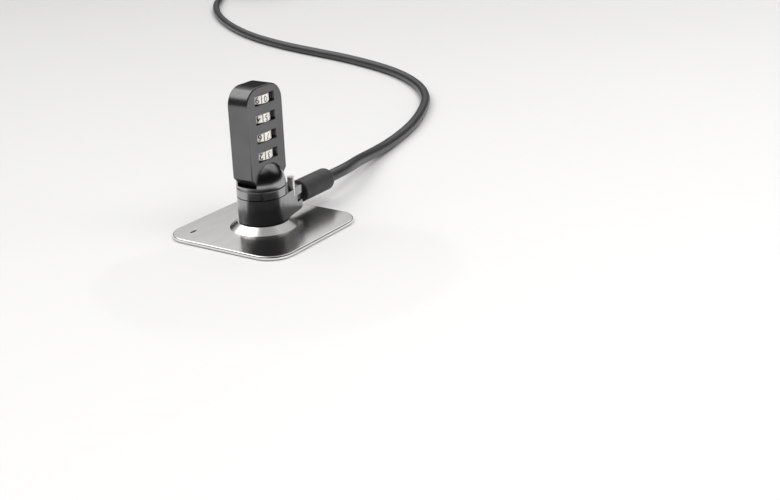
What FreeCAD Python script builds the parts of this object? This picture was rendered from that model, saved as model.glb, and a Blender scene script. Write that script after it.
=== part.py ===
import FreeCAD, Part
import os
import math
from FreeCAD import Vector as V

# Combination cable lock standing in its adhesive anchor plate.
# Millimetres, +Z up, origin at the middle of the plate's underside.
# +X points along the cable ferrule, -Y is the way the digits face.

# ---------------------------------------------------------------- dimensions
PAD_T = 0.35            # foam pad
PLATE_W = 48.4          # square plate
PLATE_R = 8.5           # its corner radius
PLATE_T = 1.1
PLATE_TOP = PAD_T + PLATE_T
BOSS_R0, BOSS_R1, BOSS_TOP = 11.5, 8.8, 3.6
CAV_R, CAV_TOP = 5.4, 2.3
SLOT_L, SLOT_W = 7.0, 3.0       # security slot in the boss

SLEEVE_R, SLEEVE_BORE = 3.5, 2.0
SPINDLE_R = 1.95
BARREL_R = 8.35
BARREL_Z0, BARREL_Z1 = 3.9, 12.45
COLLAR_Z0, COLLAR_Z1 = 12.75, 15.9
INDEX_AZ = -141.0               # index mark on the collar

HINGE = (13.7, -1.6)            # cable hinge axis
EAR_R = 3.95
TONGUE_Z0, TONGUE_Z1 = 7.1, 9.3
STOP_PIN = (9.4, -5.3)          # bright pin on the ear
STOP_PIN_R = 1.25
STOP_PIN_TOP = 16.7

FER_Y, FER_Z, FER_R = -1.6, 8.2, 4.0
FER_X0, FER_X1, FER_X2 = 18.1, 33.6, 36.0
CABLE_R = 2.2

DOME_Z0, DOME_ZC, DOME_R = 16.05, 16.5, 8.35
BODY_W, BODY_D = 18.4, 8.1
BODY_Z0, BODY_Z1 = 16.9, 50.2
BODY_TOP_R = 6.2
BODY_BEVEL = 3.2
WHEEL_Z = (45.7, 39.4, 33.1, 26.8)
WHEEL_Y, WHEEL_R, WHEEL_H = 0.65, 5.1, 2.7
WIN_W, WIN_H = 10.0, 3.3
POCKET_R = 5.4
COVER_Y0 = 2.85
SHAFT_R, SHAFT_BORE = 1.45, 1.6
SHAFT_Z0, SHAFT_Z1 = 19.6, 47.6
FINGER_X = 4.6
SPRING_TOP = 24.3

COIL_C = (400.0, 313.8)         # put-away coil
COIL_R = 25.0                   # middle of the turns
COIL_P = 4.5                    # pitch of the turns
COIL_Z0 = 1.0

# route of the free cable, from the ferrule to the coil
ROUTE = [(36.0, -1.6, 8.2), (50.0, -0.4, 7.7), (65.0, 5.0, 5.6), (82.0, 9.4, 3.4),
         (101.0, 13.2, 2.2), (128.5, 19.45, 2.2), (157.0, 31.0, 2.2), (174.5, 41.0, 2.2),
         (191.8, 55.9, 2.2), (207.5, 76.65, 2.2), (217.5, 97.75, 2.2), (226.6, 124.15, 2.2),
         (232.4, 150.05, 2.2), (239.3, 177.15, 2.2), (253.5, 211.85, 2.2), (275.9, 246.55, 2.2),
         (299.6, 274.35, 2.2), (321.8, 294.75, 2.2), (342.9, 309.6, 2.25), (363.2, 323.9, 2.6)]
COIL_IN = math.radians(124.0)   # where the cable joins the coil; it winds clockwise
COIL_OUT = math.radians(124.0)  # where it leaves, eight turns later
TAIL_R = COIL_R + COIL_P / 2 + 4.6

os.makedirs("parts", exist_ok=True)


# ------------------------------------------------------------------- helpers
def box(x0, x1, y0, y1, z0, z1):
    return Part.makeBox(x1 - x0, y1 - y0, z1 - z0, V(x0, y0, z0))


def cyl(r, z0, z1, x=0.0, y=0.0):
    return Part.makeCylinder(r, z1 - z0, V(x, y, z0), V(0, 0, 1))


def ring(ro, ri, z0, z1, x=0.0, y=0.0):
    return cyl(ro, z0, z1, x, y).cut(cyl(ri, z0 - 1, z1 + 1, x, y))


def rounded_square(w, h, r, z0, z1):
    b = box(-w / 2, w / 2, -h / 2, h / 2, z0, z1)
    return b.makeFillet(r, [e for e in b.Edges if abs(e.Vertexes[0].Z - e.Vertexes[1].Z) > (z1 - z0) * 0.9])


def prism(pts, z0, z1):
    w = Part.makePolygon([V(x, y, z0) for x, y in pts] + [V(pts[0][0], pts[0][1], z0)])
    return Part.Face(w).extrude(V(0, 0, z1 - z0))


def edges_at_z(s, z, tol=1e-3):
    out = []
    for e in s.Edges:
        bb = e.BoundBox
        if abs(bb.ZMin - z) < tol and abs(bb.ZMax - z) < tol:
            out.append(e)
    return out


def save(name, shape):
    shape = shape.removeSplitter() if hasattr(shape, "removeSplitter") else shape
    n = len(shape.Solids)
    if not shape.isValid():
        print("INVALID", name)
    shape.exportStep("parts/" + name + ".step")
    bb = shape.BoundBox
    print("%-18s solids %d  vol %.2f  x %.2f..%.2f y %.2f..%.2f z %.2f..%.2f" % (
        name, n, shape.Volume, bb.XMin, bb.XMax, bb.YMin, bb.YMax, bb.ZMin, bb.ZMax))


def bent_tube(name, pts, r):
    """A round tube along straight runs joined by tangent arcs."""
    P = [V(*p) for p in pts]
    edges, radii, length = [], [], 0.0
    start = P[0]
    for i in range(1, len(P) - 1):
        a, b, c = P[i - 1], P[i], P[i + 1]
        d1 = (b - a)
        d2 = (c - b)
        l1, l2 = d1.Length, d2.Length
        d1 = d1 * (1 / l1)
        d2 = d2 * (1 / l2)
        turn = d1.getAngle(d2)
        t = 0.45 * min(l1, l2)
        rad = t / math.tan(turn / 2)
        radii.append(rad)
        s = b - d1 * t
        e = b + d2 * t
        bis = (d2 - d1)
        bis = bis * (1 / bis.Length)
        centre = b + bis * (math.hypot(rad, t))
        m = centre - bis * rad
        if (s - start).Length > 1e-6:
            edges.append(Part.LineSegment(start, s).toShape())
            length += (s - start).Length
        edges.append(Part.Arc(s, m, e).toShape())
        length += rad * turn
        start = e
    edges.append(Part.LineSegment(start, P[-1]).toShape())
    length += (P[-1] - start).Length
    path = Part.Wire(edges)
    prof = Part.Wire(Part.makeCircle(r, P[0], P[1] - P[0]))
    solid = path.makePipeShell([prof], True, False)
    if not solid.Solids:
        solid = Part.Solid(Part.Shell(solid.Faces))
    want = math.pi * r * r * length
    print("%s: %d runs, length %.1f mm, volume ratio %.4f, valid %s" % (
        name, len(P) - 1, length, solid.Volume / want, solid.isValid()))
    print("   radii", " ".join("%.1f" % x for x in radii))
    return solid, length


# ------------------------------------------------------------------- anchor
save("adhesive_pad", rounded_square(PLATE_W - 1.4, PLATE_W - 1.4, PLATE_R - 0.7, 0, PAD_T))

plate = rounded_square(PLATE_W, PLATE_W, PLATE_R, PAD_T, PLATE_TOP)
plate = plate.makeFillet(0.45, edges_at_z(plate, PLATE_TOP))
boss = Part.makeCone(BOSS_R0, BOSS_R1, BOSS_TOP - PLATE_TOP, V(0, 0, PLATE_TOP))
plate = plate.fuse(boss).removeSplitter()
plate = plate.cut(cyl(CAV_R, PAD_T - 1, CAV_TOP))
plate = plate.cut(box(-SLOT_L / 2, SLOT_L / 2, -SLOT_W / 2, SLOT_W / 2, PAD_T, BOSS_TOP + 1))
# small oblong hole near one corner
ob = box(-17.5, -15.6, 16.55, 17.55, 0, 3).fuse(cyl(0.5, 0, 3, -17.5, 17.05)).fuse(cyl(0.5, 0, 3, -15.6, 17.05))
plate = plate.cut(ob)
save("anchor_plate", plate)

sleeve = cyl(SLEEVE_R, 3.65, COLLAR_Z1).fuse(cyl(4.4, 3.65, 4.45))
for s in (1, -1):
    x0, x1 = sorted((s * 1.75, s * 3.35))
    sleeve = sleeve.fuse(box(x0, x1, -1.4, 1.4, 2.35, 3.65))
sleeve = sleeve.cut(cyl(SLEEVE_BORE, 1, 20))
save("nose_sleeve", sleeve)

save("base_washer", ring(7.8, 4.6, 3.6, 3.8))
save("seam_washer", ring(7.5, 3.55, 12.5, 12.7))

collar = ring(BARREL_R, SLEEVE_R, COLLAR_Z0, COLLAR_Z1)
outer = [e for e in edges_at_z(collar, COLLAR_Z1) if e.Curve.Radius > 5]
collar = collar.makeFillet(0.55, outer)
collar = collar.cut(ring(5.6, 3.7, 14.4, COLLAR_Z1 + 1))
a = math.radians(INDEX_AZ)
mark = prism([(BARREL_R - 0.25, -0.55), (BARREL_R + 1, -0.55), (BARREL_R + 1, 0.55), (BARREL_R - 0.25, 0.55)], 13.1, 14.0)
wf = Part.Face(Part.makePolygon([V(BARREL_R - 0.25, -0.62, 13.0), V(BARREL_R - 0.25, 0.62, 13.0),
                                 V(BARREL_R - 0.25, 0.16, 15.2), V(BARREL_R - 0.25, -0.16, 15.2),
                                 V(BARREL_R - 0.25, -0.62, 13.0)]))
mark = wf.extrude(V(2, 0, 0))
mark.rotate(V(0, 0, 0), V(0, 0, 1), INDEX_AZ)
collar = collar.cut(mark)
save("index_collar", collar)

# ------------------------------------------------------------------- barrel
hx, hy = HINGE
L = math.hypot(hx, hy)
ax = math.atan2(hy, hx)
be = math.acos((BARREL_R - EAR_R) / L)
t1 = (BARREL_R * math.cos(ax + be), BARREL_R * math.sin(ax + be))
t2 = (hx + EAR_R * math.cos(ax + be), hy + EAR_R * math.sin(ax + be))
t3 = (hx + EAR_R * math.cos(ax - be), hy + EAR_R * math.sin(ax - be))
t4 = (BARREL_R * math.cos(ax - be), BARREL_R * math.sin(ax - be))
web = prism([(0, 0), t1, t2, (hx, hy), t3, t4], BARREL_Z0, BARREL_Z1)
ear = web.fuse(cyl(EAR_R, BARREL_Z0, BARREL_Z1, hx, hy)).removeSplitter()
# the ear's end is rounded in side view too
er = (BARREL_Z1 - BARREL_Z0) / 2
xe = hx + EAR_R
prof = box(-20, xe - er, -20, 20, BARREL_Z0, BARREL_Z1)
nose = Part.makeCylinder(er, 40, V(xe - er, -20, (BARREL_Z0 + BARREL_Z1) / 2), V(0, 1, 0))
ear = ear.common(prof.fuse(nose))
barrel = cyl(BARREL_R, BARREL_Z0, BARREL_Z1).fuse(ear).removeSplitter()
barrel = barrel.cut(cyl(SLEEVE_R + 0.06, 0, 20)).cut(cyl(4.55, 0, 4.6))
barrel = barrel.cut(ring(30, 0.01, TONGUE_Z0 - 0.15, TONGUE_Z1 + 0.15, hx, hy).common(
    cyl(5.0, 0, 20, hx, hy)))
barrel = barrel.cut(cyl(1.25, 0, 11.8, hx, hy))
barrel = barrel.cut(cyl(STOP_PIN_R, 9.9, 20, *STOP_PIN))
save("swivel_barrel", barrel)

save("cable_hinge_pin", cyl(1.25, 4.7, 11.8, hx, hy))
sp = cyl(STOP_PIN_R, 9.9, STOP_PIN_TOP, *STOP_PIN)
sp = sp.makeFillet(0.2, edges_at_z(sp, STOP_PIN_TOP))
sp = sp.cut(ring(2, STOP_PIN_R - 0.22, STOP_PIN_TOP - 0.95, STOP_PIN_TOP - 0.7, *STOP_PIN))
save("stop_pin", sp)

# -------------------------------------------------------------------- cable
eye = cyl(3.4, TONGUE_Z0, TONGUE_Z1, hx, hy).fuse(box(hx, 24.0, FER_Y - 1.9, FER_Y + 1.9, TONGUE_Z0, TONGUE_Z1))
eye = eye.cut(cyl(1.31, 0, 20, hx, hy))
save("hinge_eye", eye)

fer = Part.makeCylinder(FER_R, FER_X1 - FER_X0, V(FER_X0, FER_Y, FER_Z), V(1, 0, 0))
fer = fer.makeFillet(0.3, [e for e in fer.Edges if abs(e.BoundBox.XMax - FER_X0) < 1e-3 and hasattr(e.Curve, "Radius")])
# rounded shoulder running down to the cable
sh = Part.makePolygon([V(FER_X1, FER_Y, FER_Z), V(FER_X1, FER_Y, FER_Z + FER_R)])
arc = Part.Arc(V(FER_X1, FER_Y, FER_Z + FER_R), V(FER_X1 + 1.45, FER_Y, FER_Z + 3.35), V(FER_X2, FER_Y, FER_Z + 2.35)).toShape()
w = Part.Wire([Part.LineSegment(V(FER_X1, FER_Y, FER_Z), V(FER_X1, FER_Y, FER_Z + FER_R)).toShape(), arc,
               Part.LineSegment(V(FER_X2, FER_Y, FER_Z + 2.35), V(FER_X2, FER_Y, FER_Z)).toShape(),
               Part.LineSegment(V(FER_X2, FER_Y, FER_Z), V(FER_X1, FER_Y, FER_Z)).toShape()])
shoulder = Part.Face(w).revolve(V(0, FER_Y, FER_Z), V(1, 0, 0), 360)
fer = fer.fuse(shoulder).removeSplitter()
fer = fer.cut(box(0, 24.0, FER_Y - 1.9, FER_Y + 1.9, TONGUE_Z0, TONGUE_Z1))
fer = fer.cut(Part.makeCylinder(CABLE_R, 20, V(26.0, FER_Y, FER_Z), V(1, 0, 0)))
save("cable_ferrule", fer)

core = Part.makeCylinder(CABLE_R, 10, V(26.0, FER_Y, FER_Z), V(1, 0, 0))
e_in = (COIL_C[0] + (COIL_R + COIL_P / 2) * math.cos(COIL_IN), COIL_C[1] + (COIL_R + COIL_P / 2) * math.sin(COIL_IN), 3.2)
run_pts = [(26.0, FER_Y, FER_Z)] + [p for p in ROUTE] + [e_in]
run_pts = [(26.0, FER_Y, FER_Z), (40.0, FER_Y + 0.05, FER_Z - 0.02)] + ROUTE[1:] + [e_in]
run, len_run = bent_tube("cable_run", run_pts, CABLE_R)
save("cable_run", run)

r0, r1 = COIL_R - COIL_P / 2 - CABLE_R, COIL_R + COIL_P / 2 + CABLE_R
zt = COIL_Z0 + 3 * COIL_P + 2 * CABLE_R
coil = ring(r1, r0, COIL_Z0, zt, *COIL_C)
coil = coil.makeChamfer(0.9, [e for e in coil.Edges if hasattr(e.Curve, "Radius") and e.BoundBox.ZLength < 1e-6])
save("cable_coil", coil)

# strap round the coil, on the side away from the lock
tie = box(r0 - 1.7, r1 + 0.9, -4.5, 4.5, 0.0, zt + 0.8)
tie = tie.makeFillet(1.2, [e for e in tie.Edges if e.BoundBox.YLength > 8])
tie.translate(V(COIL_C[0], COIL_C[1], 0))
tie_az = -60.0
tie.rotate(V(COIL_C[0], COIL_C[1], 0), V(0, 0, 1), tie_az)
save("coil_tie", tie.cut(coil))

# tail: down the outside of the coil, then the crimp and the loop
tail_pts = []
for d, rr, z in ((0, COIL_R + COIL_P / 2, 16.7), (25, COIL_R + COIL_P / 2 + 2.4, 15.4), (50, TAIL_R, 12.2),
                 (75, TAIL_R, 7.9), (98, TAIL_R, 4.0)):
    t = COIL_OUT - math.radians(d)
    tail_pts.append((COIL_C[0] + rr * math.cos(t), COIL_C[1] + rr * math.sin(t), z))
t = COIL_OUT - math.radians(119)
px, py = COIL_C[0] + TAIL_R * math.cos(t), COIL_C[1] + TAIL_R * math.sin(t)
dx, dy = math.sin(t), -math.cos(t)
tail_pts.append((px, py, 2.25))
tail_pts.append((px + 12 * dx, py + 12 * dy, 2.2))
tail, len_tail = bent_tube("cable_tail", tail_pts, CABLE_R)
save("cable_tail", tail)
cx, cy = px + 12 * dx, py + 12 * dy
nx, ny = -dy, dx
turns = 8 * 2 * math.pi * COIL_R
print("coil turns %.1f mm, whole cable %.1f mm" % (turns, len_run - 10 + turns + len_tail))


def local(u, v, z=2.2):
    return V(cx + u * dx + v * nx, cy + u * dy + v * ny, z)


# oval crimp sleeve holding both legs of the loop
CR_L, CR_H = 11.0, 2.75
leg = 2.25
ang = math.degrees(math.atan2(dy, dx))
c1 = box(0, CR_L, -leg, leg, -2.2, 2 * CR_H - 2.2 - 0.0)
c1 = box(0, CR_L, -leg, leg, 0.0, 2 * CR_H)
for s in (1, -1):
    c1 = c1.fuse(Part.makeCylinder(CR_H, CR_L, V(0, s * leg, CR_H), V(1, 0, 0)))
c1 = c1.removeSplitter()
holes = Part.makeCylinder(CABLE_R, 4, V(-1, 0, 2.2), V(1, 0, 0))
c1 = c1.cut(Part.makeCylinder(CABLE_R, 3.0, V(0, 0, 2.2), V(1, 0, 0)))
for s in (1, -1):
    c1 = c1.cut(Part.makeCylinder(CABLE_R, 6.0, V(CR_L - 5.0, s * leg, CR_H), V(1, 0, 0)))
c1.rotate(V(0, 0, 0), V(0, 0, 1), ang)
c1.translate(V(cx, cy, 0))
save("loop_crimp", c1)

# the loop: two legs and a round end
LR = 13.0
zl = CR_H
p = [local(CR_L - 5.0, leg, zl), local(CR_L + 4, leg, zl), local(CR_L + 14, 9.0, zl), local(CR_L + 27, LR, zl)]
path = []
q = [(CR_L - 5.0, leg), (CR_L + 6, leg), (CR_L + 19, LR), (CR_L + 30, LR), (CR_L + 30 + 7.6, LR * 0.72),
     (CR_L + 30 + 12.0, 0.0), (CR_L + 30 + 7.6, -LR * 0.72), (CR_L + 30, -LR), (CR_L + 19, -LR), (CR_L + 6, -leg), (CR_L - 5.0, -leg)]
lp = [tuple(local(u, v, zl)) for u, v in q]
loop, len_loop = bent_tube("end_loop", lp, CABLE_R)
save("end_loop", loop)

# --------------------------------------------------------------------- head
dome = cyl(DOME_R, DOME_Z0, DOME_ZC).fuse(
    Part.makeSphere(DOME_R, V(0, 0, DOME_ZC), V(0, 0, 1), 0, 90, 360)).removeSplitter()
dome = dome.cut(box(-20, 20, -BODY_D / 2, BODY_D / 2, BODY_Z0, 40))
dome = dome.cut(cyl(SPINDLE_R, 10, 20)).cut(cyl(0.8, 10, 20, FINGER_X, WHEEL_Y))
BS = ((-5.0, 0.0), (3.4, -2.4))
for x, y in BS:
    dome = dome.cut(cyl(0.7, 10, 20, x, y)).cut(Part.makeCone(1.25, 0.7, 0.55, V(x, y, DOME_Z0)))
save("dome_cap", dome)

w2 = BODY_W / 2
fw = Part.makePolygon([V(-w2 + BODY_BEVEL, 0, BODY_Z0), V(w2 - BODY_BEVEL, 0, BODY_Z0), V(w2, 0, BODY_Z0 + BODY_BEVEL),
                       V(w2, 0, BODY_Z1), V(-w2, 0, BODY_Z1), V(-w2, 0, BODY_Z0 + BODY_BEVEL),
                       V(-w2 + BODY_BEVEL, 0, BODY_Z0)])
body = Part.Face(fw).extrude(V(0, BODY_D, 0))
body.translate(V(0, -BODY_D / 2, 0))
body = body.makeFillet(BODY_TOP_R, [e for e in body.Edges if e.BoundBox.YLength > 7 and abs(e.BoundBox.ZMin - BODY_Z1) < 1e-3
                                    and e.BoundBox.XLength < 1e-3 and e.BoundBox.ZLength < 1e-3])
body = body.makeFillet(0.45, [e for e in body.Edges if (abs(e.BoundBox.YMin + BODY_D / 2) < 1e-3 and abs(e.BoundBox.YMax + BODY_D / 2) < 1e-3)
                              or (abs(e.BoundBox.YMin - BODY_D / 2) < 1e-3 and abs(e.BoundBox.YMax - BODY_D / 2) < 1e-3)])
housing = body
for z in WHEEL_Z:
    housing = housing.cut(cyl(POCKET_R, z - WIN_H / 2, z + WIN_H / 2, 0, WHEEL_Y).common(
        box(-20, 20, -BODY_D / 2 + 0.9, 20, 0, 60)))
    housing = housing.cut(box(-WIN_W / 2, WIN_W / 2, -20, WHEEL_Y, z - WIN_H / 2, z + WIN_H / 2))
    housing = housing.cut(box(-POCKET_R, POCKET_R, WHEEL_Y, 20, z - WIN_H / 2, z + WIN_H / 2))
housing = housing.cut(cyl(SHAFT_BORE, 19.4, 49.3, 0, WHEEL_Y))
housing = housing.cut(cyl(2.4, 19.4, SPRING_TOP, 0, WHEEL_Y))
housing = housing.cut(box(-2.4, 2.4, WHEEL_Y, 20, 19.4, SPRING_TOP))
housing = housing.cut(box(-2.4, 5.9, -1.6, 20, 19.4, 22.6))
housing = housing.cut(cyl(0.8, 10, 20, FINGER_X, WHEEL_Y))
housing = housing.cut(cyl(2.7, 10, 18.8))
housing = housing.cut(box(5.32, 5.9, -0.75, 20, 24.8, 47.7))
for x, y in BS:
    housing = housing.cut(cyl(0.7, 10, 19.0, x, y))
CX, CZ0, CZ1, CRR = 7.7, 20.6, 48.6, 4.6
cov = Part.makePolygon([V(-CX, 0, CZ0), V(CX, 0, CZ0), V(CX, 0, CZ1), V(-CX, 0, CZ1), V(-CX, 0, CZ0)])
cov = Part.Face(cov).extrude(V(0, BODY_D / 2 - COVER_Y0, 0))
cov.translate(V(0, COVER_Y0, 0))
cov = cov.makeFillet(CRR, [e for e in cov.Edges if e.BoundBox.YLength > 1 and abs(e.BoundBox.ZMin - CZ1) < 1e-3 and e.BoundBox.ZLength < 1e-3 and e.BoundBox.XLength < 1e-3])
cov = cov.makeFillet(1.2, [e for e in cov.Edges if e.BoundBox.YLength > 1 and abs(e.BoundBox.ZMin - CZ0) < 1e-3 and e.BoundBox.ZLength < 1e-3 and e.BoundBox.XLength < 1e-3])
housing = housing.cut(cov)
CS = ((-6.55, 23.2), (6.75, 23.2), (-6.45, 44.0), (6.85, 44.0))
for x, z in CS:
    housing = housing.cut(Part.makeCylinder(0.5, 3.2, V(x, COVER_Y0 - 3.0, z), V(0, 1, 0)))
# reset screw hole
RSX, RSZ = -5.6, 29.95
housing = housing.cut(Part.makeCylinder(0.8, 3.2, V(RSX, COVER_Y0 - 3.0, RSZ), V(0, 1, 0)))
save("dial_housing", housing)

cover = cov
for z in WHEEL_Z:
    cover = cover.cut(box(-WIN_W / 2, WIN_W / 2, 0, 20, z - WIN_H / 2, z + WIN_H / 2))
for x, z in CS:
    cover = cover.cut(Part.makeCylinder(0.5, 9, V(x, 0, z), V(0, 1, 0)))
    cover = cover.cut(Part.makeCone(0.5, 0.85, 0.4, V(x, BODY_D / 2 - 0.4, z), V(0, 1, 0)))
cover = cover.cut(Part.makeCylinder(1.45, 9, V(RSX, 0, RSZ), V(0, 1, 0)))
save("back_cover", cover)

scr = []
for x, z in CS:
    s = Part.makeCylinder(0.5, 4.0, V(x, 4.05 - 4.05, z), V(0, 1, 0))
    s = s.fuse(Part.makeCone(0.5, 0.85, 0.4, V(x, 3.65, z), V(0, 1, 0)))
    s = s.common(box(-20, 20, COVER_Y0 - 3.0, 4.05, 0, 60)).removeSplitter()
    s = s.cut(box(x - 0.6, x + 0.6, 3.85, 5, z - 0.09, z + 0.09))
    scr.append(s)
save("cover_screws", Part.makeCompound(scr))

rs = Part.makeCylinder(1.4, 0.9, V(RSX, 3.05, RSZ), V(0, 1, 0)).fuse(
    Part.makeCylinder(0.75, 2.9, V(RSX, 0.2, RSZ), V(0, 1, 0))).removeSplitter()
rs = rs.cut(box(RSX - 2, RSX + 2, 3.55, 5, RSZ - 0.2, RSZ + 0.2))
save("reset_screw", rs)

bs = []
for x, y in BS:
    s = cyl(0.7, DOME_Z0, 18.9, x, y).fuse(Part.makeCone(1.25, 0.7, 0.55, V(x, y, DOME_Z0))).removeSplitter()
    s = s.cut(box(x - 0.9, x + 0.9, y - 0.12, y + 0.12, DOME_Z0 - 1, DOME_Z0 + 0.3))
    bs.append(s)
save("base_screws", Part.makeCompound(bs))

leaf = box(5.5, 5.8, -0.6, 1.9, 24.85, 47.65)
for z in WHEEL_Z:
    leaf = leaf.fuse(cyl(0.15, z - 0.8, z + 0.8, 5.5, WHEEL_Y))
leaf = leaf.removeSplitter()
save("detent_spring", leaf)

sp = cyl(SPINDLE_R, 3.75, BODY_Z0).fuse(cyl(1.3, 2.1, 3.75)).fuse(cyl(1.3, BODY_Z0, 18.6))
sp = sp.fuse(box(-1.25, 1.25, -3.2, 3.2, 0.85, 2.15)).removeSplitter()
save("t_bar_spindle", sp)
hexa = prism([(2.4 * math.cos(math.radians(60 * k)), 2.4 * math.sin(math.radians(60 * k))) for k in range(6)], BODY_Z0, 18.3)
save("spindle_nut", hexa.cut(cyl(1.3, 10, 20)))

# ----------------------------------------------------- number wheels and bolt
for i, z in enumerate(WHEEL_Z):
    wz = z - WHEEL_H / 2
    wheel = cyl(WHEEL_R, wz, wz + WHEEL_H, 0, WHEEL_Y)
    wheel = wheel.makeChamfer(0.15, [e for e in wheel.Edges if hasattr(e.Curve, "Radius") and e.BoundBox.ZLength < 1e-6])
    for k in range(10):
        t = math.radians(18 + 36 * k)
        g = cyl(0.22, wz - 1, wz + WHEEL_H + 1, (WHEEL_R + 0.08) * math.sin(t), WHEEL_Y - (WHEEL_R + 0.08) * math.cos(t))
        wheel = wheel.cut(g)
    wheel = wheel.cut(cyl(2.6, 0, 60, 0, WHEEL_Y))
    save("dial_%d" % (i + 1), wheel)
    sl = ring(2.6, 1.52, z - 1.45, z + 1.45, 0, WHEEL_Y)
    sl = sl.cut(box(-0.5, 0.5, WHEEL_Y - 2.0, WHEEL_Y - 1.0, z - 0.6, z + 2))
    save("clutch_sleeve_%d" % (i + 1), sl)

shaft = cyl(SHAFT_R, SHAFT_Z0, SHAFT_Z1, 0, WHEEL_Y)
shaft = shaft.makeChamfer(0.25, edges_at_z(shaft, SHAFT_Z1))
for z in WHEEL_Z:
    shaft = shaft.cut(ring(2, 1.15, z - 2.9, z - 2.0, 0, WHEEL_Y))
save("dial_shaft", shaft)
fing = box(-2.0, 5.4, WHEEL_Y - 1.95, WHEEL_Y + 1.95, SHAFT_Z0, SHAFT_Z0 + 1.2)
fing = fing.cut(cyl(SHAFT_R, 10, 60, 0, WHEEL_Y))
fing = fing.fuse(cyl(0.7, 14.8, SHAFT_Z0 + 0.2, FINGER_X, WHEEL_Y)).removeSplitter()
save("locking_finger", fing)

# return spring of the shaft
h0, h1, rw, rc = SHAFT_Z0 + 1.2 + 0.02, SPRING_TOP - 0.02, 0.2, 1.92
pitch = 0.7
helix = Part.makeHelix(pitch, h1 - h0 - 2 * rw, rc)
helix.translate(V(0, 0, 0))
pr = Part.Wire(Part.makeCircle(rw, V(rc, 0, 0), V(0, 1, 0)))
spring = Part.Wire(helix.Edges).makePipeShell([pr], True, True)
spring.translate(V(0, WHEEL_Y, h0 + rw))
save("shaft_spring", spring)
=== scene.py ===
import bpy
import bmesh
import math
from mathutils import Matrix, Vector


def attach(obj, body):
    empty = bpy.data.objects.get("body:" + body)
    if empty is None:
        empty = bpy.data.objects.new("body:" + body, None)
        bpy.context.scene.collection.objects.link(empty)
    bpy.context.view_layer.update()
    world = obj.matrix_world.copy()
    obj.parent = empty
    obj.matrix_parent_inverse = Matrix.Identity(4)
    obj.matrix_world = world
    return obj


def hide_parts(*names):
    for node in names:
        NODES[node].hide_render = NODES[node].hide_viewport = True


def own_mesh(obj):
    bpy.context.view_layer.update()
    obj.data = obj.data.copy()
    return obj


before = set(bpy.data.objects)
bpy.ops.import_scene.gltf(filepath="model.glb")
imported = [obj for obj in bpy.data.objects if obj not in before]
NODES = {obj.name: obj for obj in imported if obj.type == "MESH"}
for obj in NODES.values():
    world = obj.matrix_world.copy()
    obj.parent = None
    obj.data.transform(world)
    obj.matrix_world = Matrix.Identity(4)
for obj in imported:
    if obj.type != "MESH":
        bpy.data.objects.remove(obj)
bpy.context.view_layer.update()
scene = bpy.context.scene
MM = 0.001

# ---------------------------------------------------------------- camera
cam_data = bpy.data.cameras.new("camera")
cam_data.sensor_fit = "HORIZONTAL"
cam_data.sensor_width = 36.0
cam_data.lens = 55.766
cam_data.clip_start = 0.01
cam_data.clip_end = 60.0
cam_data.dof.use_dof = False
cam = bpy.data.objects.new("camera", cam_data)
scene.collection.objects.link(cam)
cam.matrix_world = Matrix((
    (0.53968, 0.32216, -0.77779, -0.29885),
    (-0.84127, 0.17149, -0.51270, -0.24786),
    (-0.03179, 0.93102, 0.36358, 0.14126),
    (0.0, 0.0, 0.0, 1.0)))
scene.camera = cam
scene.view_settings.view_transform = "Standard"
scene.view_settings.look = "None"
scene.view_settings.exposure = 0.0
scene.view_settings.gamma = 1.0


# ---------------------------------------------------------------- node helpers
class Tree:
    """Small helper round a material's node tree."""

    def __init__(self, name):
        self.mat = bpy.data.materials.new(name)
        self.mat.use_nodes = True
        self.nt = self.mat.node_tree
        self.nt.nodes.clear()
        self.out = self.nt.nodes.new("ShaderNodeOutputMaterial")
        self.b = self.nt.nodes.new("ShaderNodeBsdfPrincipled")
        self.nt.links.new(self.b.outputs[0], self.out.inputs[0])
        self.tc = self.nt.nodes.new("ShaderNodeTexCoord")

    def new(self, kind, **kw):
        n = self.nt.nodes.new(kind)
        for k, v in kw.items():
            setattr(n, k, v)
        return n

    def link(self, a, b):
        self.nt.links.new(a, b)

    def coords(self, scale=(1, 1, 1), rot=(0, 0, 0), loc=(0, 0, 0)):
        m = self.new("ShaderNodeMapping")
        m.inputs["Scale"].default_value = scale
        m.inputs["Rotation"].default_value = rot
        m.inputs["Location"].default_value = loc
        self.link(self.tc.outputs["Object"], m.inputs[0])
        return m.outputs[0]

    def noise(self, scale, detail=3.0, rough=0.5, vec=None, distortion=0.0):
        n = self.new("ShaderNodeTexNoise")
        n.inputs["Scale"].default_value = scale
        n.inputs["Detail"].default_value = detail
        n.inputs["Roughness"].default_value = rough
        n.inputs["Distortion"].default_value = distortion
        self.link(vec if vec is not None else self.coords(), n.inputs["Vector"])
        return n.outputs[0]

    def remap(self, v, a, b, lo, hi, smooth=False):
        n = self.new("ShaderNodeMapRange")
        n.interpolation_type = "SMOOTHSTEP" if smooth else "LINEAR"
        n.clamp = True
        for i, x in zip(range(1, 5), (a, b, lo, hi)):
            n.inputs[i].default_value = x
        self.link(v, n.inputs[0])
        return n.outputs[0]

    def math(self, op, a, b=None, c=None):
        n = self.new("ShaderNodeMath", operation=op)
        for i, v in enumerate((a, b, c)):
            if v is None:
                continue
            if isinstance(v, (int, float)):
                n.inputs[i].default_value = v
            else:
                self.link(v, n.inputs[i])
        return n.outputs[0]

    def mix(self, fac, c1, c2):
        n = self.new("ShaderNodeMix", data_type="RGBA")
        self.link(fac, n.inputs[0])
        for sock, c in ((n.inputs[6], c1), (n.inputs[7], c2)):
            if isinstance(c, (tuple, list)):
                sock.default_value = (*c[:3], 1.0)
            else:
                self.link(c, sock)
        return n.outputs[2]

    def bump(self, height, strength, distance, normal=None):
        n = self.new("ShaderNodeBump")
        n.inputs["Strength"].default_value = strength
        n.inputs["Distance"].default_value = distance
        self.link(height, n.inputs["Height"])
        if normal is not None:
            self.link(normal, n.inputs["Normal"])
        return n.outputs[0]


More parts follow.
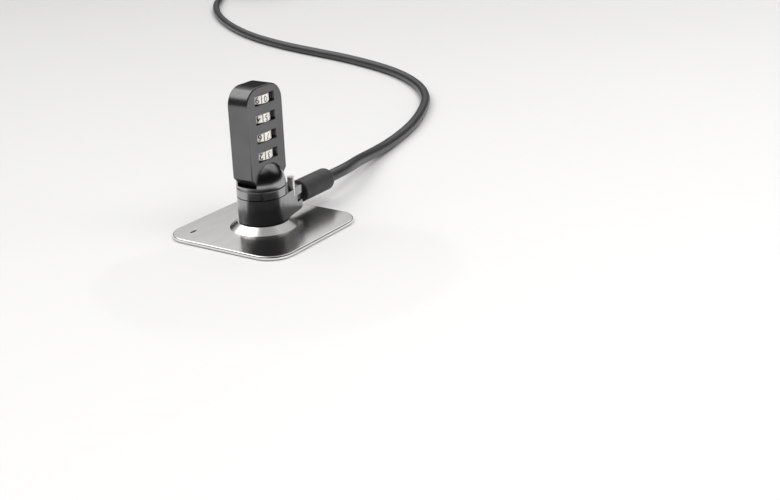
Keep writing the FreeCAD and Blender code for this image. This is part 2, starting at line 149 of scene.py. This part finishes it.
def finish_of(name, base, rough, metallic=0.0, ior=1.5, coat=0.0, coat_rough=0.08, edge=None,
              tone=0.12, tone_scale=160.0, rough_var=0.04, rough_scale=900.0,
              grain=0.0, grain_scale=5000.0, grain_dist=0.00001, stretch=(1, 1, 1), sheen=0.0):
    """Plated, painted or moulded surface: a slow drift of tone, patches of finer and
    coarser polish, and a fine grain that lifts the normal."""
    t = Tree(name)
    v = t.coords(scale=stretch)
    slow = t.noise(tone_scale, 2.0, 0.5, v)
    lo = tuple(max(0.0, c * (1 - tone)) for c in base)
    hi = tuple(min(1.0, c * (1 + tone)) for c in base)
    t.link(t.mix(t.remap(slow, 0.3, 0.7, 0, 1), lo, hi), t.b.inputs["Base Color"])
    fine = t.noise(rough_scale, 4.0, 0.6, v)
    t.link(t.remap(fine, 0.3, 0.7, max(0.02, rough - rough_var), rough + rough_var), t.b.inputs["Roughness"])
    t.b.inputs["Metallic"].default_value = metallic
    t.b.inputs["IOR"].default_value = ior
    t.b.inputs["Coat Weight"].default_value = coat
    t.b.inputs["Coat Roughness"].default_value = coat_rough
    if edge is not None:
        t.b.inputs["Specular Tint"].default_value = (edge, edge, edge, 1.0)
    if sheen:
        t.b.inputs["Sheen Weight"].default_value = sheen
        t.b.inputs["Sheen Roughness"].default_value = 0.5
    if grain:
        g = t.noise(grain_scale, 2.0, 0.5, v)
        t.link(t.bump(g, grain, grain_dist), t.b.inputs["Normal"])
    return t


# ---------------------------------------------------------------- materials
M = {}
M["polished_steel"] = finish_of("polished_steel", (0.83, 0.825, 0.81), 0.20, 1.0, tone=0.03, tone_scale=60,
                                rough_var=0.03, rough_scale=500, grain=0.25, grain_scale=900, grain_dist=0.00002,
                                stretch=(1, 6, 1)).mat
M["black_chrome"] = finish_of("black_chrome", (0.37, 0.37, 0.375), 0.225, 1.0, tone=0.08, tone_scale=120,
                              rough_var=0.015, rough_scale=900, grain=0.10, grain_scale=1500, grain_dist=0.000004).mat
M["dome_black"] = finish_of("dome_black", (0.37, 0.37, 0.375), 0.21, 1.0, tone=0.12, tone_scale=200,
                            rough_var=0.03, rough_scale=1500, grain=0.12, grain_scale=2500, grain_dist=0.00001).mat
M["body_black"] = finish_of("body_black", (0.160, 0.160, 0.163), 0.23, 0.88, ior=1.5, edge=0.0, tone=0.06, tone_scale=140,
                            rough_var=0.025, rough_scale=2600, grain=0.12, grain_scale=6500, grain_dist=0.000003).mat
M["cover_black"] = finish_of("cover_black", (0.14, 0.14, 0.143), 0.32, 0.88, ior=1.5, edge=0.2, tone=0.08, tone_scale=170,
                             rough_var=0.04, rough_scale=2600, grain=0.25, grain_scale=6500, grain_dist=0.000008).mat
M["bright_chrome"] = finish_of("bright_chrome", (0.88, 0.87, 0.85), 0.30, 1.0, tone=0.04, tone_scale=300,
                               rough_var=0.03, rough_scale=2500, grain=0.15, grain_scale=3000).mat
M["ferrule_grey"] = finish_of("ferrule_grey", (0.040, 0.040, 0.0405), 0.55, 0.0, ior=1.5, tone=0.15, tone_scale=260,
                              rough_var=0.07, rough_scale=3000, grain=0.55, grain_scale=5200, grain_dist=0.00003).mat
M["inner_steel"] = finish_of("inner_steel", (0.56, 0.56, 0.55), 0.30, 1.0, tone=0.08, rough_var=0.08,
                             grain=0.3, grain_scale=3000, stretch=(1, 1, 8)).mat
M["spring_steel"] = finish_of("spring_steel", (0.45, 0.45, 0.47), 0.28, 1.0, tone=0.1, rough_var=0.08,
                              grain=0.3, grain_scale=4000).mat
M["washer_nylon"] = finish_of("washer_nylon", (0.03, 0.03, 0.03), 0.5, 0.0, grain=0.4, grain_scale=5000).mat
M["sleeve_brass"] = finish_of("sleeve_brass", (0.72, 0.55, 0.27), 0.28, 1.0, tone=0.1, rough_var=0.08,
                              grain=0.3, grain_scale=3000, stretch=(1, 1, 8)).mat
M["crimp_alu"] = finish_of("crimp_alu", (0.66, 0.66, 0.67), 0.36, 1.0, tone=0.06, rough_var=0.1, rough_scale=1200,
                           grain=0.5, grain_scale=2200, grain_dist=0.00004).mat
M["foam_tape"] = finish_of("foam_tape", (0.10, 0.10, 0.105), 0.9, 0.0, tone=0.25, tone_scale=2500,
                           grain=0.9, grain_scale=2600, grain_dist=0.0001).mat


def dial_material(name):
    """Cream moulded wheel, with painted shade darkening the ten grooves between the digits."""
    t = Tree(name)
    slow = t.noise(420, 2.0)
    base = t.mix(t.remap(slow, 0.3, 0.7, 0, 1), (0.88, 0.855, 0.79), (0.95, 0.935, 0.885))
    s = t.new("ShaderNodeSeparateXYZ")
    t.link(t.coords(loc=(0, -0.65 * MM, 0)), s.inputs[0])
    ang = t.math("ARCTAN2", s.outputs[0], t.math("MULTIPLY", s.outputs[1], -1.0))
    turns = t.math("MULTIPLY", ang, 10 / (2 * math.pi))
    saw = t.math("FRACT", t.math("ADD", turns, 100.0))
    near = t.math("ABSOLUTE", t.math("SUBTRACT", saw, 0.5))       # 0 in a groove
    line = t.remap(near, 0.035, 0.062, 1.0, 0.0, True)
    r = t.math("POWER", t.math("ADD", t.math("MULTIPLY", s.outputs[0], s.outputs[0]),
                               t.math("MULTIPLY", s.outputs[1], s.outputs[1])), 0.5)
    rim = t.remap(r, 4.5 * MM, 4.9 * MM, 0.0, 1.0)
    # painted shade: a dark line along each groove, only near the rim, mixed into the base colour
    groove_shade_mask = t.math("MULTIPLY", line, rim)
    t.link(t.mix(groove_shade_mask, base, (0.10, 0.085, 0.07)), t.b.inputs["Base Color"])
    t.link(t.remap(t.noise(3000, 3.0), 0.3, 0.7, 0.34, 0.46), t.b.inputs["Roughness"])
    t.b.inputs["IOR"].default_value = 1.5
    t.b.inputs["Subsurface Weight"].default_value = 0.0
    t.link(t.bump(t.noise(4500, 2.0), 0.25, 0.00001), t.b.inputs["Normal"])
    return t.mat


M["dial_cream"] = dial_material("dial_cream")
# real print ink on the digits; the same dark material also fills the index mark recess as painted shade
M["digit_ink_and_recess_shade"] = finish_of("digit_ink_and_recess_shade", (0.018, 0.017, 0.016), 0.5, 0.0, tone=0.3, tone_scale=1500,
                           rough_var=0.08, grain=0.2, grain_scale=6000).mat


def cable_material(name):
    """Smooth jacket pressed over a twisted steel strand, with a slow drift of tone and a fine noise bump."""
    t = Tree(name)
    uv = t.tc.outputs["UV"]
    m = t.new("ShaderNodeMapping")
    t.link(uv, m.inputs[0])
    slow = t.noise(90, 3.0)
    t.link(t.mix(t.remap(slow, 0.3, 0.7, 0, 1), (0.024, 0.024, 0.0245), (0.037, 0.037, 0.0375)), t.b.inputs["Base Color"])
    t.link(t.remap(t.noise(1400, 4.0, 0.6), 0.3, 0.7, 0.30, 0.42), t.b.inputs["Roughness"])
    t.b.inputs["IOR"].default_value = 1.5
    t.b.inputs["Coat Weight"].default_value = 0.15
    t.b.inputs["Coat Roughness"].default_value = 0.25
    g1 = t.noise(700, 2.0)
    n1 = t.bump(g1, 0.25, 0.00005)
    n2 = t.bump(t.noise(5000, 2.0), 0.3, 0.00001, n1)
    t.link(n2, t.b.inputs["Normal"])
    return t.mat


M["cable_jacket"] = cable_material("cable_jacket")


def strap_material(name):
    """Woven hook-and-loop strap, 9 mm wide."""
    t = Tree(name)
    v = t.coords(rot=(0, 0, math.radians(60)))
    w1 = t.new("ShaderNodeTexWave", wave_type="BANDS", bands_direction="X")
    w1.inputs["Scale"].default_value = 420
    w1.inputs["Distortion"].default_value = 0.6
    w1.inputs["Detail"].default_value = 1.0
    t.link(v, w1.inputs["Vector"])
    w2 = t.new("ShaderNodeTexWave", wave_type="BANDS", bands_direction="Z")
    w2.inputs["Scale"].default_value = 420
    w2.inputs["Distortion"].default_value = 0.6
    w2.inputs["Detail"].default_value = 1.0
    t.link(v, w2.inputs["Vector"])
    weave = t.math("MULTIPLY", w1.outputs[1], w2.outputs[1])
    fuzz = t.noise(2500, 4.0, 0.7)
    h = t.math("ADD", weave, t.math("MULTIPLY", fuzz, 0.8))
    t.link(t.mix(t.remap(h, 0.2, 1.3, 0, 1), (0.010, 0.010, 0.011), (0.045, 0.045, 0.048)), t.b.inputs["Base Color"])
    t.link(t.remap(fuzz, 0.3, 0.7, 0.75, 0.95), t.b.inputs["Roughness"])
    t.b.inputs["Sheen Weight"].default_value = 0.5
    t.b.inputs["Sheen Roughness"].default_value = 0.4
    t.link(t.bump(h, 0.7, 0.00015), t.b.inputs["Normal"])
    return t.mat


M["strap_black"] = strap_material("strap_black")

NODE_MAT = {
    "adhesive_pad": "foam_tape", "anchor_plate": "polished_steel", "nose_sleeve": "black_chrome",
    "base_washer": "washer_nylon", "seam_washer": "washer_nylon", "index_collar": "black_chrome",
    "swivel_barrel": "black_chrome", "cable_hinge_pin": "black_chrome", "stop_pin": "bright_chrome",
    "hinge_eye": "cover_black", "cable_ferrule": "ferrule_grey", "cable_run": "cable_jacket",
    "cable_coil": "cable_jacket", "coil_tie": "strap_black", "cable_tail": "cable_jacket",
    "loop_crimp": "crimp_alu", "end_loop": "cable_jacket", "dome_cap": "dome_black",
    "dial_housing": "body_black", "back_cover": "cover_black", "cover_screws": "inner_steel",
    "reset_screw": "inner_steel", "base_screws": "inner_steel", "detent_spring": "spring_steel",
    "t_bar_spindle": "inner_steel", "spindle_nut": "inner_steel", "dial_shaft": "inner_steel",
    "locking_finger": "inner_steel", "shaft_spring": "spring_steel",
}
for i in range(1, 5):
    NODE_MAT["dial_%d" % i] = "dial_cream"
    NODE_MAT["clutch_sleeve_%d" % i] = "sleeve_brass"

for name, o in NODES.items():
    o.data.materials.clear()
    o.data.materials.append(M[NODE_MAT[name]])
    for p in o.data.polygons:
        p.material_index = 0


# ---------------------------------------------------------------- the cable
RUN = [(26.0, -1.6, 8.2), (40.0, -1.55, 8.18), (50.0, -0.4, 7.7), (65.0, 5.0, 5.6), (82.0, 9.4, 3.4),
       (101.0, 13.2, 2.2), (128.5, 19.45, 2.2), (157.0, 31.0, 2.2), (174.5, 41.0, 2.2),
       (191.8, 55.9, 2.2), (207.5, 76.65, 2.2), (217.5, 97.75, 2.2), (226.6, 124.15, 2.2),
       (232.4, 150.05, 2.2), (239.3, 177.15, 2.2), (253.5, 211.85, 2.2), (275.9, 246.55, 2.2),
       (299.6, 274.35, 2.2), (321.8, 294.75, 2.2), (342.9, 309.6, 2.25), (363.2, 323.9, 2.6)]
COIL_C = (400.0, 313.8)
R_OUT, R_IN = 27.25, 22.75
START = 124.0
# turns of the coil: (wound from, wound to, what changes, from, to), in degrees and millimetres
MOVES = [(275, 365, "r", R_OUT, R_IN), (620, 680, "z", 3.2, 7.7), (930, 1030, "r", R_IN, R_OUT),
         (1285, 1350, "z", 7.7, 12.2), (1575, 1672, "r", R_OUT, R_IN), (1925, 1990, "z", 12.2, 16.7),
         (2235, 2332, "r", R_IN, R_OUT), (2585, 2652, "z", 16.7, 21.2)]


def lane(a):
    r, z = R_OUT, 3.2
    for a0, a1, what, v0, v1 in MOVES:
        u = min(1.0, max(0.0, (a - a0) / (a1 - a0)))
        u = u * u * (3 - 2 * u)
        if a >= a0:
            v = v0 + (v1 - v0) * u
            if what == "r":
                r = v
            else:
                z = v
    return r, z


def polar(angle, r, z):
    t = math.radians(angle)
    return (COIL_C[0] + r * math.cos(t), COIL_C[1] + r * math.sin(t), z)


coil_points = []
STEP = 22.5
for k in range(int(2880 / STEP) + 1):
    a = k * STEP
    r, z = lane(a)
    # small differences from turn to turn, so that the coil looks wound by hand
    r += 0.10 * math.sin(a * 0.0137 + 0.6) + 0.06 * math.sin(a * 0.031)
    coil_points.append(polar(START - a, r / 0.9808, z + 0.04 * math.sin(a * 0.021)))
tail_points = [polar(START - 25, 29.25 / 0.98, 18.8), polar(START - 50, 31.2 / 0.98, 13.4),
               polar(START - 75, 31.9 / 0.98, 8.3), polar(START - 98, 31.9 / 0.98, 4.0)]
t_end = math.radians(START - 119)
TAIL_R = 31.85
px, py = COIL_C[0] + TAIL_R * math.cos(t_end), COIL_C[1] + TAIL_R * math.sin(t_end)
dx, dy = math.sin(t_end), -math.cos(t_end)
tail_points += [(px, py, 2.25), (px + 13.5 * dx, py + 13.5 * dy, 2.2)]


def nurbs(name, points, radius, cyclic=False, resolution=10):
    cu = bpy.data.curves.new(name, "CURVE")
    cu.dimensions = "3D"
    cu.resolution_u = resolution
    cu.bevel_depth = radius * MM
    cu.bevel_resolution = 10
    cu.use_fill_caps = True
    sp = cu.splines.new("NURBS")
    sp.points.add(len(points) - 1)
    for p, c in zip(sp.points, points):
        p.co = (c[0] * MM, c[1] * MM, c[2] * MM, 1.0)
    sp.order_u = 3
    sp.use_endpoint_u = True
    sp.resolution_u = resolution
    ob = bpy.data.objects.new(name, cu)
    scene.collection.objects.link(ob)
    return ob


cable = nurbs("security_cable", RUN + coil_points + tail_points, 2.2)
cable.data.materials.append(M["cable_jacket"])
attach(cable, "cable_end")
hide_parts("cable_run", "cable_coil", "cable_tail")

CX0, CY0 = px + 12 * dx, py + 12 * dy
NX, NY = -dy, dx
CR_L, LEG, LR = 11.0, 2.25, 13.0
LOOP = [(CR_L - 5.0, LEG), (CR_L + 6, LEG), (CR_L + 19, LR), (CR_L + 30, LR), (CR_L + 30 + 7.6, LR * 0.72),
        (CR_L + 30 + 12.0, 0.0), (CR_L + 30 + 7.6, -LR * 0.72), (CR_L + 30, -LR), (CR_L + 19, -LR), (CR_L + 6, -LEG),
        (CR_L - 5.0, -LEG)]
loop = nurbs("cable_end_loop", [(CX0 + u * dx + v * NX, CY0 + u * dy + v * NY, 2.75) for u, v in LOOP], 2.2)
loop.data.materials.append(M["cable_jacket"])
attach(loop, "cable_end")
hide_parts("end_loop")


# ---------------------------------------------------------------- digits on the wheels
WHEEL_Z = (45.7, 39.4, 33.1, 26.8)
WHEEL_Y, WHEEL_R = 0.65, 5.1
SHOWN = (0, 5, 7, 3)


def digit_mesh(ch, size):
    cu = bpy.data.curves.new("digit", "FONT")
    cu.body = ch
    cu.size = size
    cu.align_x = "CENTER"
    cu.align_y = "CENTER"
    cu.resolution_u = 6
    cu.offset = 0.008
    ob = bpy.data.objects.new("digit", cu)
    scene.collection.objects.link(ob)
    bpy.context.view_layer.update()
    dg = bpy.context.evaluated_depsgraph_get()
    me = bpy.data.meshes.new_from_object(ob.evaluated_get(dg))
    bpy.data.objects.remove(ob)
    xs = [v.co.x for v in me.vertices]
    ys = [v.co.y for v in me.vertices]
    cx, cy = (min(xs) + max(xs)) / 2, (min(ys) + max(ys)) / 2
    for v in me.vertices:
        v.co.x -= cx
        v.co.y -= cy
    return me, max(ys) - min(ys)


DIGITS = {}
for n in range(10):
    me, h = digit_mesh(str(n), 3.0)
    DIGITS[n] = me

for w in range(4):
    bm = bmesh.new()
    for k in range(10):
        n = (SHOWN[w] + k) % 10
        src = bmesh.new()
        src.from_mesh(DIGITS[n])
        bmesh.ops.triangulate(src, faces=src.faces)
        bmesh.ops.remove_doubles(src, verts=src.verts, dist=1e-5)
        res = bmesh.ops.extrude_face_region(src, geom=list(src.faces))
        top = [g for g in res["geom"] if isinstance(g, bmesh.types.BMVert)]
        for v in src.verts:
            v.co.z = 0.004
        for v in top:
            v.co.z = 0.035
        bmesh.ops.recalc_face_normals(src, faces=src.faces)
        # upside down on the wheel, wrapped on its rim
        a0 = math.radians(36 * k)
        for v in src.verts:
            x, y, h = -v.co.x, -v.co.y, v.co.z
            th = a0 + x / WHEEL_R
            rr = WHEEL_R + h
            v.co = Vector((rr * math.sin(th) * MM, (WHEEL_Y - rr * math.cos(th)) * MM, (WHEEL_Z[w] + y) * MM))
        me = bpy.data.meshes.new("tmp")
        src.to_mesh(me)
        src.free()
        bm.from_mesh(me)
        bpy.data.meshes.remove(me)
    bmesh.ops.recalc_face_normals(bm, faces=bm.faces)
    me = bpy.data.meshes.new("dial_%d_digits" % (w + 1))
    bm.to_mesh(me)
    bm.free()
    ob = bpy.data.objects.new("dial_%d_digits" % (w + 1), me)
    scene.collection.objects.link(ob)
    me.materials.append(M["digit_ink_and_recess_shade"])
    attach(ob, "wheel_%d" % (w + 1))
for me in DIGITS.values():
    bpy.data.meshes.remove(me)


# ---------------------------------------------------------------- shaft spring, a copy of the CAD spring carried by the head
spring = bpy.data.objects.new("shaft_spring_coil", NODES["shaft_spring"].data.copy())
scene.collection.objects.link(spring)
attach(spring, "head")
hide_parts("shaft_spring")
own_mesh(spring)

# ---------------------------------------------------------------- dark sheet in the index mark recess: painted shade
INDEX_AZ = math.radians(-141.0)
# a thin dark sheet set inside the engraved recess stands in for the shade that falls there
bm = bmesh.new()
front, back = [], []
for r, row in ((8.16, front), (8.105, back)):
    for w, z in ((-0.60, 13.02), (0.60, 13.02), (0.15, 15.18), (-0.15, 15.18)):
        p = Vector((r, w, z))
        p.rotate(Matrix.Rotation(INDEX_AZ, 3, "Z"))
        row.append(bm.verts.new(p * MM))
bm.faces.new(front)
bm.faces.new(list(reversed(back)))
for i in range(4):
    bm.faces.new((front[i], back[i], back[(i + 1) % 4], front[(i + 1) % 4]))
bmesh.ops.recalc_face_normals(bm, faces=bm.faces)
me = bpy.data.meshes.new("index_mark_shade_sheet")
bm.to_mesh(me)
bm.free()
mark = bpy.data.objects.new("index_mark_shade_sheet", me)
scene.collection.objects.link(mark)
me.materials.append(M["digit_ink_and_recess_shade"])
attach(mark, "anchor")


# ---------------------------------------------------------------- strap round the coil
def strap():
    """A woven strap wound once round the turns, with its end lapped over and pressed down."""
    r0, r1 = R_IN - 2.2 - 0.3, R_OUT + 2.2 + 0.3
    z0, z1 = 0.62, 21.2 + 2.2 + 0.35
    T = 0.55
    pts = []

    def corner(cx, cz, r, a0, a1, n=6):
        for i in range(n + 1):
            a = math.radians(a0 + (a1 - a0) * i / n)
            pts.append((cx + r * math.cos(a), cz + r * math.sin(a)))

    rc = 2.6
    corner(r1 - rc, z1 - rc, rc, 60, 0)
    corner(r1 - rc, z0 + rc, rc, 0, -90)
    corner(r0 + rc, z0 + rc, rc, -90, -180)
    corner(r0 + rc, z1 - rc, rc, 180, 90)
    # lap: the end runs over the start, one thickness further out
    lap = []
    for x in (r0 + rc + 1.0, r1 - rc - 0.5):
        lap.append((x, z1 + T * 0.9))
    pts2 = pts + lap
    rr = rc + T
    for i in range(7):
        a = math.radians(88 - 88 * i / 6)
        pts2.append((r1 - rc + rr * math.cos(a), z1 - rc + rr * math.sin(a)))
    pts2.append((r1 + T * 1.0, z1 - rc - 5.0))
    pts2.append((r1 + T * 1.25, z1 - rc - 8.0))
    W = 4.4
    bm = bmesh.new()
    rows = []
    n = len(pts2)
    for i, (x, z) in enumerate(pts2):
        w = W * (0.72 if i == n - 1 else 1.0)
        row = []
        for j in range(9):
            s = -1 + 2 * j / 8
            row.append(bm.verts.new((x, s * w, z)))
        rows.append(row)
    for a, b in zip(rows, rows[1:]):
        for j in range(8):
            bm.faces.new((a[j], a[j + 1], b[j + 1], b[j]))
    me = bpy.data.meshes.new("coil_strap")
    bm.to_mesh(me)
    bm.free()
    az = math.radians(-60.0)
    me.transform(Matrix.Translation((COIL_C[0], COIL_C[1], 0)) @ Matrix.Rotation(az, 4, "Z"))
    me.transform(Matrix.Scale(MM, 4))
    ob = bpy.data.objects.new("coil_strap", me)
    scene.collection.objects.link(ob)
    so = ob.modifiers.new("thickness", "SOLIDIFY")
    so.thickness = 0.5 * MM
    so.offset = 0.0
    sb = ob.modifiers.new("smooth", "SUBSURF")
    sb.levels = sb.render_levels = 2
    for p in me.polygons:
        p.use_smooth = True
    return ob


tie = strap()
tie.data.materials.append(M["strap_black"])
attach(tie, "cable_end")
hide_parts("coil_tie")

# ---------------------------------------------------------------- floor, world, lights
bm = bmesh.new()
bmesh.ops.create_grid(bm, x_segments=4, y_segments=4, size=12.0)
fm = bpy.data.meshes.new("floor")
bm.to_mesh(fm)
bm.free()
floor = bpy.data.objects.new("floor", fm)
scene.collection.objects.link(floor)
ft = Tree("floor_pale")
ft.link(ft.mix(ft.remap(ft.noise(3.0, 2.0), 0.3, 0.7, 0, 1), (0.655, 0.655, 0.655), (0.67, 0.67, 0.67)), ft.b.inputs["Base Color"])
ft.b.inputs["Roughness"].default_value = 0.6
ft.b.inputs["Specular IOR Level"].default_value = 0.3
fm.materials.append(ft.mat)

world = bpy.data.worlds.new("studio")
scene.world = world
world.use_nodes = True
nt = world.node_tree
nt.nodes.clear()
wout = nt.nodes.new("ShaderNodeOutputWorld")
bg = nt.nodes.new("ShaderNodeBackground")
nt.links.new(bg.outputs[0], wout.inputs[0])
wtc = nt.nodes.new("ShaderNodeTexCoord")


def toward(az, el):
    a, e = math.radians(az), math.radians(el)
    return (math.cos(a) * math.cos(e), math.sin(a) * math.cos(e), math.sin(e))


# direction, full inside this angle, nothing outside this angle, level
BLOBS = [(toward(107, 52), 16, 33, 2.2),      # softbox behind, on the narrow side
         (toward(41, 46), 26, 30, 0.86),      # tall pale panel behind, clear of the horizon
         (toward(70, 30), 6, 15, 0.45),
         (toward(12, 30), 6, 15, 0.45),
         (toward(-15, 47), 8, 34, 0.52),      # weaker panel on the cable's side
         (toward(0, 90), 10, 40, 0.40)]
BASE = 0.012
total = None
for d, inner, outer, level in BLOBS:
    d = Vector(d).normalized()
    dot = nt.nodes.new("ShaderNodeVectorMath")
    dot.operation = "DOT_PRODUCT"
    nt.links.new(wtc.outputs["Generated"], dot.inputs[0])
    dot.inputs[1].default_value = d
    mr = nt.nodes.new("ShaderNodeMapRange")
    mr.interpolation_type = "SMOOTHSTEP"
    mr.inputs[1].default_value = math.cos(math.radians(outer))
    mr.inputs[2].default_value = math.cos(math.radians(inner))
    mr.inputs[3].default_value = 0.0
    mr.inputs[4].default_value = level
    nt.links.new(dot.outputs["Value"], mr.inputs[0])
    if total is None:
        total = mr.outputs[0]
    else:
        ad = nt.nodes.new("ShaderNodeMath")
        ad.operation = "ADD"
        nt.links.new(total, ad.inputs[0])
        nt.links.new(mr.outputs[0], ad.inputs[1])
        total = ad.outputs[0]
ad = nt.nodes.new("ShaderNodeMath")
ad.operation = "ADD"
ad.inputs[1].default_value = BASE
nt.links.new(total, ad.inputs[0])
bg.inputs["Color"].default_value = (1.0, 0.995, 0.985, 1.0)
nt.links.new(ad.outputs[0], bg.inputs["Strength"])
pale = nt.nodes.new("ShaderNodeBackground")
pale.inputs["Color"].default_value = (0.86, 0.86, 0.86, 1.0)
lp = nt.nodes.new("ShaderNodeLightPath")
mx = nt.nodes.new("ShaderNodeMixShader")
nt.links.new(lp.outputs["Is Camera Ray"], mx.inputs[0])
nt.links.new(bg.outputs[0], mx.inputs[1])
nt.links.new(pale.outputs[0], mx.inputs[2])
nt.links.new(mx.outputs[0], wout.inputs[0])



def soft_light(name, az, el, dist, size, power):
    """Large soft light that lights matt surfaces and stays out of the mirror-like ones."""
    ld = bpy.data.lights.new(name, "AREA")
    ld.shape = "SQUARE"
    ld.size = size
    ld.energy = power
    ld.color = (1.0, 0.995, 0.985)
    ob = bpy.data.objects.new(name, ld)
    scene.collection.objects.link(ob)
    d = Vector(toward(az, el))
    ob.location = d * dist + Vector((0.08, 0.06, 0.02))
    ob.rotation_euler = (-d).to_track_quat("-Z", "Y").to_euler()
    ob.visible_glossy = False
    return ob


soft_light("key", -95, 58, 1.3, 1.1, 15.0)
soft_light("fill", 170, 40, 1.3, 0.9, 4.0)
soft_light("low_fill", -70, 12, 1.1, 0.6, 2.0)

# black card on the floor round the camera's side of the plate, only seen in the polished parts
bm = bmesh.new()
inner, outer = [], []
for i in range(28):
    t = math.radians(150 + (302 - 150) * i / 27)
    c, d = math.cos(t), math.sin(t)
    k = 26.4 / max(abs(c), abs(d))
    inner.append(bm.verts.new((c * min(k, 32.5) * MM, d * min(k, 32.5) * MM, 0.0003)))
    reach = 0.036 + 0.052 * math.sin(math.pi * i / 27) ** 0.5
    outer.append(bm.verts.new((c * reach, d * reach, 0.0003)))
for i in range(27):
    bm.faces.new((inner[i], outer[i], outer[i + 1], inner[i + 1]))
cm = bpy.data.meshes.new("card")
bm.to_mesh(cm)
bm.free()
card = bpy.data.objects.new("card", cm)
scene.collection.objects.link(card)
ct = Tree("card_black")
ct.link(ct.mix(ct.noise(5.0), (0.004, 0.004, 0.004), (0.006, 0.006, 0.006)), ct.b.inputs["Base Color"])
ct.b.inputs["Roughness"].default_value = 0.9
ct.b.inputs["Specular IOR Level"].default_value = 0.0
cm.materials.append(ct.mat)
card.visible_camera = False
card.visible_diffuse = False
card.visible_shadow = False
card.visible_transmission = False
